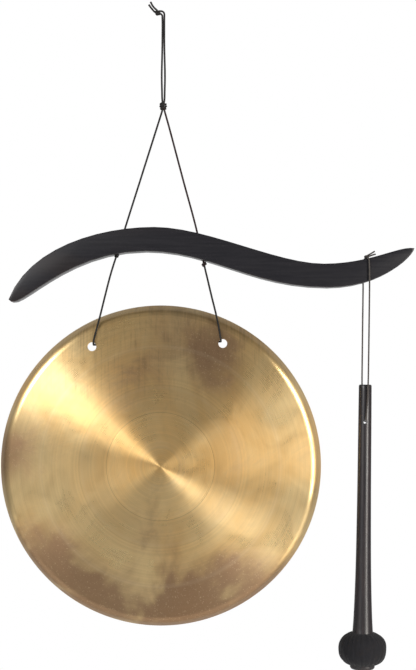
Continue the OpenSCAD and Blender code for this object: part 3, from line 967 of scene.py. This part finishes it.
@dataclass
class MalletCord:
    """The thin twisted cord: tied over the beam, down past both its faces, and through the handle."""

    stock: CordStock = field(default_factory=lambda: CordStock(0.0012, Lay.TWIST, 0.12, 16, 0.0002))
    knot_at: Point = (0.1609, 0, -0.1937)
    ends: tuple[LoopEnd, ...] = (
        LoopEnd(
            "front", ("mallet_bight", "mallet_tail_upper"),
            side=((0.16274, -0.0097, -0.2085), (0.1626, -0.0097, -0.2), (0.1622, -0.0097, -0.196),
                  (0.1616, -0.0092, -0.1947), (0.1613, -0.008, -0.1944)),
            bight=((0.1612, -0.0064, -0.1944), (0.1612, -0.0016, -0.1944)),
            tail=((0.1618, -0.0004, -0.1928), (0.1652, 0, -0.1908), (0.1681, 0, -0.189)),
            bend=((0.1612, -0.006, -0.1944), (0.1612, -0.0094, -0.1944))),
        LoopEnd(
            "back", ("mallet_loop_upper", "mallet_tail_lower"),
            side=((0.15998, 0.0097, -0.2085), (0.1601, 0.0097, -0.2), (0.1604, 0.0097, -0.196),
                  (0.1608, 0.0092, -0.1947), (0.1611, 0.008, -0.1944)),
            bight=((0.1612, 0.0064, -0.1944), (0.1612, 0.0016, -0.1944)),
            tail=((0.1622, 0.0004, -0.1936), (0.1654, 0, -0.1923), (0.1688, 0, -0.1913)),
            bend=((0.1612, 0.006, -0.1944), (0.1612, 0.0094, -0.1944))))
    lower_bend: tuple = ((0.1613, 0, -0.2088), (0.1613, 0, -0.2258))
    lower: tuple = (
        (0.16274, -0.0097, -0.2085), (0.1628, -0.0097, -0.2139), (0.1628, -0.0097, -0.2171),
        (0.1626, -0.0086, -0.246), (0.1623, -0.0073, -0.278), (0.1621, -0.0067, -0.293),
        (0.1617, -0.0064, -0.305), (0.1609, -0.00635, -0.316), (0.1605, -0.00635, -0.3212),
        (0.1604, -0.00625, -0.323), (0.1603, -0.0058, -0.32385), (0.1602, -0.0049, -0.3241),
        (0.1602, -0.0039, -0.3241), (0.1602, 0.0039, -0.3241), (0.1602, 0.0049, -0.3241),
        (0.1601, 0.0058, -0.32385), (0.16, 0.00625, -0.323), (0.1599, 0.00635, -0.3212),
        (0.1595, 0.00635, -0.316), (0.1589, 0.0064, -0.305), (0.1587, 0.0067, -0.293),
        (0.1589, 0.0073, -0.278), (0.1594, 0.0086, -0.246),
        (0.1599, 0.0097, -0.2171), (0.1599, 0.0097, -0.2139), (0.15998, 0.0097, -0.2085))

    def build(self) -> None:
        """Makes the knot, the two ends that meet in it, and the long run through the handle."""
        grey = CordFinish(CordTone.GREY).material()
        route = wrap(self.knot_at, 0.00085, pitch=0.0009, turns=1.5, tilt=62, start=30, squash=0.9)
        knot = self.stock.run("mallet_knot_wrap", smooth_route(route, self.stock.step), grey)
        body_piece(knot, "mallet_tie", "mallet_cord", "mallet_knot")
        for end, knots in zip(self.ends, ([knot], [])):
            path = smooth_route([*end.side, *end.bight, self.knot_at, *end.tail], self.stock.step)
            piece = self.stock.run(f"mallet_cord_{end.name}", path, grey)
            stands_for(piece, "mallet_cord", *end.nodes)
            self.stock.declare(piece, path, "bare", "taut", *knots)
            bending_piece(piece, ("mallet_tie", "mallet_loop"), *end.bend)
        path = smooth_route(self.lower, self.stock.step)
        piece = self.stock.run("mallet_cord_lower", path, grey)
        stands_for(piece, "mallet_cord", "mallet_loop_lower")
        self.stock.declare(piece, path, "knot", "hanging")
        bending_piece(piece, ("mallet_loop", "mallet_sling"), *self.lower_bend)


# --------------------------------------------------------------------------------- gong, beam, mallet


@dataclass
class Gong:
    """The spun brass plate with its turned-back lip and two cord holes."""

    sheet: float = 0.0012
    lip_depth: float = 0.014
    lip_lean: float = 20.0
    bend_r: float = 0.006
    hole_r: float = 0.0035
    hole_ease: float = 0.00018
    hole_ring: float = 0.1097
    hole_half_angle: float = 28.3
    roll: float = -1.4
    steps: int = 256
    ring_line: float = 0.043
    ring_depth: float = 0.00008
    ring_half: float = 0.0004
    middle: Vector = field(init=False)
    radius: float = field(init=False)

    def __post_init__(self) -> None:
        """Takes the gong's place and size from the frame."""
        low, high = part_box("gong_plate")
        self.middle = Vector(((low.x + high.x) / 2, 0, (low.z + high.z) / 2))
        self.radius = (high.x - low.x) / 2

    def section(self) -> list[tuple[float, float]]:
        """The half section: radius, and depth behind the face's front.

        Returns:
            Its points, from the middle of the face out, round the lip's edge and back behind.
        """
        lean = math.radians(self.lip_lean)
        slant = (self.lip_depth - self.bend_r * (1 - math.sin(lean))) / math.cos(lean)
        face_r = self.radius - self.bend_r * math.cos(lean) - slant * math.sin(lean)
        bend = (face_r, self.bend_r)
        across = (-math.cos(lean), math.sin(lean))
        edge = (self.radius, self.lip_depth)
        line, wide = self.ring_line, self.ring_half
        groove = [(line + x, self.ring_depth * (1 - abs(x) / wide)) for x in (-wide, 0, wide)]
        front = [(0, 0), (0.004, 0), (line - 0.0006, 0), *groove, (line + 0.0006, 0), (face_r - 0.0002, 0)]
        turn = rounded(bend, self.bend_r, -90, -self.lip_lean, 14)
        half = self.sheet / 2
        ease = [(edge[0] + across[0] * half + half * math.cos(a),
                 edge[1] + across[1] * half + half * math.sin(a))
                for a in (math.radians(-self.lip_lean + 180 * i / 8) for i in range(9))]
        back = rounded(bend, self.bend_r - self.sheet, -self.lip_lean, -90, 12)
        inside = [(r, self.sheet) for r in (0.094, 0.06, 0.02, 0)]
        return [*front, *turn, *ease, *back, *inside]

    def hole(self, side: int) -> Vector:
        """The middle of one cord hole, side -1 for the left one."""
        a = math.radians(side * self.hole_half_angle + self.roll)
        return self.middle + self.hole_ring * Vector((math.sin(a), 0, math.cos(a)))

    def build(self) -> None:
        """Spins the plate, drills it and hangs it on its body."""
        bm = spun(self.section(), self.steps)
        upright = Matrix.Rotation(-math.pi / 2, 4, "X")
        place = Matrix.Translation(self.middle + Vector((0, -self.sheet / 2, 0)))
        bmesh.ops.transform(bm, matrix=place @ upright, verts=bm.verts)
        brass = SpunBrass(tuple(self.middle), self.radius).material()
        piece = new_object("spun_gong", mesh_from(bm, 30), brass)
        half = Vector((0, self.sheet / 2, 0))
        holes = [self.hole(side) for side in (-1, 1)]
        cut(piece, [drill(at - half, at + half, self.hole_r, self.hole_ease) for at in holes], 30)
        body_piece(piece, "gong", "gong_brass", "gong_plate")


@dataclass
class Beam:
    """The S-curved bar with pointed ends and two drilled holes."""

    edge_r: float = 0.0009
    hole_r: float = 0.0016
    reach: float = 0.012

    def outline(self) -> list[Vector]:
        """The front outline, taken from the frame's own beam.

        Returns:
            Its corners in order.
        """
        bm = bmesh.new()
        bm.from_mesh(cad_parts["beam"].data)
        bmesh.ops.remove_doubles(bm, verts=bm.verts, dist=1e-6)
        bmesh.ops.recalc_face_normals(bm, faces=bm.faces)
        front = [f for f in bm.faces if f.normal.y < -0.99]
        bmesh.ops.dissolve_faces(bm, faces=front, use_verts=False)
        face = max((f for f in bm.faces if f.normal.y < -0.99), key=lambda f: f.calc_area())
        points = [v.co.copy() for v in face.verts]
        bm.free()
        return points

    def build(self, cord: HangingCord) -> None:
        """Makes the bar.

        Args:
            cord: the cord whose runs pass through it, which gives the holes' lines.
        """
        low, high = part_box("beam")
        bm = bmesh.new()
        face = bm.faces.new([bm.verts.new(p) for p in self.outline()])
        grown = bmesh.ops.extrude_face_region(bm, geom=[face])
        moved = [v for v in grown["geom"] if isinstance(v, bmesh.types.BMVert)]
        bmesh.ops.translate(bm, verts=moved, vec=(0, high.y - low.y, 0))
        bmesh.ops.recalc_face_normals(bm, faces=bm.faces)
        rims = [e for e in bm.edges if abs(e.verts[0].co.y - e.verts[1].co.y) < 1e-7]
        bmesh.ops.bevel(bm, geom=rims, offset=self.edge_r, offset_type="OFFSET", segments=4, profile=0.5,
                        affect="EDGES", clamp_overlap=True, material=-1)
        piece = new_object("curved_beam", mesh_from(bm, 50), StainedWood().material())
        drills = []
        for route in (cord.upper_left, cord.upper_right):
            top, bottom = Vector(route[3]), Vector(route[4])
            way = (bottom - top).normalized() * self.reach
            drills.append(drill(top - way, bottom + way, self.hole_r))
        cut(piece, drills, 50)
        body_piece(piece, "beam", "beam_wood", "beam")


@dataclass
class Mallet:
    """The lacquered handle, the felt core, the gathered cover and the end cap."""

    top: Point = (0.1605, 0, -0.295)
    lean: float = 0.6
    handle: tuple = ((0.00555, -0.092), (0.00625, -0.15), (0.00735, -0.184))
    top_r: float = 0.0051
    top_edge: float = 0.0012
    length: float = 0.1986
    rim_r: float = 0.0083
    rim_edge: float = 0.001
    spigot_r: float = 0.004
    spigot_end: float = 0.2234
    hole_down: float = 0.0296
    hole_r: float = 0.0016
    hole_proud: float = 0.0002
    head_down: float = 0.21
    head_r: float = 0.0192
    head_half: float = 0.014
    square: float = 2.4
    neck_r: float = 0.0087
    mouth_r: float = 0.01
    cloth: float = 0.0009
    cap_r: float = 0.0098
    cap_top: float = 0.2206
    cap_end: float = 0.226
    cap_edge: float = 0.0022
    columns: int = 150
    rows: int = 44
    sim_scale: float = 10.0

    def place(self) -> Matrix:
        """The mallet's own frame, its top at the origin."""
        return Matrix.Translation(self.top) @ Matrix.Rotation(math.radians(self.lean), 4, "Y")

    def turned(self, name: str, section: Sequence[tuple[float, float]], material: bpy.types.Material,
               steps: int = 96) -> bpy.types.Object:
        """Turns a section and sets it in the mallet's frame."""
        bm = spun(section, steps)
        bmesh.ops.transform(bm, matrix=self.place(), verts=bm.verts)
        return new_object(name, mesh_from(bm, 40), material)

    def stick(self, lacquer: bpy.types.Material) -> None:
        """The handle: rounded top, slow flare, a bead at its rim, and the spigot below."""
        shaft = smooth_route([(self.top_r, 0, -self.top_edge), (self.top_r + 0.00015, 0, -0.03),
                              *((r, 0, z) for r, z in self.handle),
                              (self.rim_r - 0.0002, 0, self.rim_edge * 2 - self.length)], 0.004)
        rim = rounded((self.rim_r - self.rim_edge, self.rim_edge - self.length), self.rim_edge, 0, -90, 6)
        section = [(0, 0), *rounded((self.top_r - self.top_edge, -self.top_edge), self.top_edge, 90, 0, 6),
                   *((p.x, p.z) for p in shaft[1:]), *rim, (self.spigot_r, -self.length),
                   (self.spigot_r, -self.spigot_end + 0.0003), (self.spigot_r - 0.0003, -self.spigot_end),
                   (0, -self.spigot_end)]
        piece = self.turned("turned_handle", section, lacquer)
        out = Vector((0, self.top_r + self.hole_proud, 0))
        middle = self.place() @ Vector((0, 0, -self.hole_down))
        cut(piece, [drill(middle - out, middle + out, self.hole_r)], 40)
        body_piece(piece, "mallet", "mallet_wood", "mallet_handle")

    def button(self, lacquer: bpy.types.Material) -> None:
        """The end cap, with its blind bore."""
        bore = self.spigot_r + 0.00005
        foot = rounded((self.cap_r - self.cap_edge, self.cap_edge - self.cap_end), self.cap_edge, 0, -90, 10)
        section = [(0, -self.cap_end + 0.0022), (bore, -self.cap_end + 0.0022), (bore, -self.cap_top),
                   (self.cap_r - 0.0004, -self.cap_top), (self.cap_r, -self.cap_top - 0.0004), *foot,
                   (self.cap_r * 0.4, -self.cap_end - 0.00005), (0, -self.cap_end - 0.00008)]
        piece = self.turned("end_button", section, lacquer)
        body_piece(piece, "mallet", "mallet_wood", "mallet_end_cap")

    def gather(self, angle: float, height: float) -> float:
        """Depth of the cloth's gathers.

        Args:
            angle: round the head, in radians.
            height: from -1 at the mouth to 1 at the neck.

        Returns:
            The radial shift, in metres.
        """
        drift = 0.5 * math.sin(3 * angle + 1.7 * height) + 0.35 * math.sin(5 * angle - 2.1)
        fold = math.sin(26 * angle + 2.2 * drift) + 0.45 * math.sin(41 * angle + 3.0 * drift + 1.3 * height)
        strength = 0.25 + 0.75 * abs(height) ** 2.2
        return 0.00046 * fold * strength + 0.00022 * math.sin(7 * angle + 4 * height)

    def cover_shell(self) -> bmesh.types.BMesh:
        """The cover before it is puffed out: one gathered sheet, open at neck and mouth."""
        def rise(r: float) -> float:
            """The head's half height at a radius."""
            return self.head_half * (1 - (r / self.head_r) ** self.square) ** (1 / self.square)
        start = math.asin((rise(self.neck_r) / self.head_half) ** (self.square / 2))
        end = -math.asin((rise(self.mouth_r) / self.head_half) ** (self.square / 2))
        section = []
        for i in range(self.rows + 1):
            a = start + (end - start) * i / self.rows
            power = 2 / self.square
            section.append((self.head_r * math.cos(a) ** power,
                            self.head_half * math.copysign(abs(math.sin(a)) ** power, a)))
        bm = spun(section, self.columns)
        for v in bm.verts:
            angle, height = math.atan2(v.co.y, v.co.x), v.co.z / self.head_half
            r = math.hypot(v.co.x, v.co.y)
            grown = r - 0.0003 + self.gather(angle, height)
            v.co.x, v.co.y = grown * math.cos(angle), grown * math.sin(angle)
        return bm

    def puff(self, piece: bpy.types.Object) -> None:
        """Blows the sheet out a little as cloth, held at neck and mouth, and keeps the result.

        Args:
            piece: the cover, about the origin.
        """
        mesh = piece.data
        mesh.transform(Matrix.Scale(self.sim_scale, 4))
        before = np.array([v.co for v in mesh.vertices])
        heights = before[:, 2]
        pins = piece.vertex_groups.new(name="pins")
        band = 0.0012 * self.sim_scale
        at_end = (heights > heights.max() - band) | (heights < heights.min() + band)
        ends = [int(i) for i in np.where(at_end)[0]]
        pins.add(ends, 1.0, "REPLACE")
        cloth = piece.modifiers.new("cloth", "CLOTH")
        rules = cloth.settings
        rules.quality = 8
        rules.mass = 0.15
        rules.tension_stiffness = rules.compression_stiffness = 25
        rules.bending_stiffness = 1.5
        rules.vertex_group_mass = "pins"
        rules.use_pressure = True
        rules.uniform_pressure_force = 3.0
        rules.effector_weights.gravity = 0
        cloth.point_cache.frame_start, cloth.point_cache.frame_end = 1, 14
        for number in range(1, 15):
            bpy.context.scene.frame_set(number)
        graph = bpy.context.evaluated_depsgraph_get()
        after = np.array([v.co for v in piece.evaluated_get(graph).data.vertices])
        move = after - before
        size = np.linalg.norm(move, axis=1, keepdims=True)
        cap = 0.0007 * self.sim_scale
        move *= np.minimum(1, cap / np.maximum(size, 1e-9))
        piece.modifiers.clear()
        piece.vertex_groups.clear()
        mesh.vertices.foreach_set("co", (before + move).ravel())
        mesh.transform(Matrix.Scale(1 / self.sim_scale, 4))
        bpy.context.scene.frame_set(1)
        log.info("cover puffed out by up to %.2f mm", float(min(size.max(), cap)) / self.sim_scale * 1000)

    def cover(self) -> None:
        """The gathered cloth cover: sheet, puff, hems, thickness."""
        mesh = mesh_from(self.cover_shell(), 180)
        piece = new_object("gathered_cover", mesh, GatheredCloth().material())
        self.puff(piece)
        bm = bmesh.new()
        bm.from_mesh(piece.data)
        rims = [e for e in bm.edges if e.is_boundary]
        grown = bmesh.ops.extrude_edge_only(bm, edges=rims)
        tuck, hem = 0.9, 0.0005
        for v in (g for g in grown["geom"] if isinstance(g, bmesh.types.BMVert)):
            v.co.x, v.co.y = v.co.x * tuck, v.co.y * tuck
            v.co.z -= math.copysign(hem, v.co.z)
        bmesh.ops.recalc_face_normals(bm, faces=bm.faces)
        self.map_cloth(bm)
        shell = mesh_from(bm, 180)
        shell.transform(self.place() @ Matrix.Translation((0, 0, -self.head_down)))
        material = piece.data.materials[0]
        piece.data = shell
        shell.materials.append(material)
        thick = piece.modifiers.new("thickness", "SOLIDIFY")
        thick.thickness = self.cloth
        thick.offset = -1
        fine = piece.modifiers.new("fine", "SUBSURF")
        fine.levels = fine.render_levels = 1
        bake_modifiers(piece)
        for face in piece.data.polygons:
            face.use_smooth = True
        body_piece(piece, "mallet", "mallet_cloth", "mallet_cover")

    def map_cloth(self, bm: bmesh.types.BMesh) -> None:
        """Gives the cover its own map: once round in x, neck to mouth in y."""
        layer = bm.loops.layers.uv.new("UVMap")
        for face in bm.faces:
            middle = face.calc_center_median()
            centre = math.atan2(middle.y, middle.x)
            for loop in face.loops:
                angle = math.atan2(loop.vert.co.y, loop.vert.co.x)
                angle += math.tau * round((centre - angle) / math.tau)
                loop[layer].uv = (angle / math.tau, loop.vert.co.z / self.head_half)

    def build(self) -> None:
        """Makes the whole mallet."""
        lacquer = Lacquer().material()
        self.stick(lacquer)
        self.button(lacquer)
        self.cover()
        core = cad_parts["mallet_core"]
        core.data.materials.clear()
        core.data.materials.append(WoundFelt().material())
        log.info("mallet_core keeps its CAD shape")


def main() -> None:
    """Builds the studio and the object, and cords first."""
    logging.basicConfig(level=logging.INFO, format="%(name)s: %(message)s")
    Studio().build()
    cord = HangingCord()
    cord.build()
    MalletCord().build()
    Gong().build()
    Beam().build(cord)
    Mallet().build()
    bpy.context.view_layer.update()


if __name__ == "__main__":
    main()
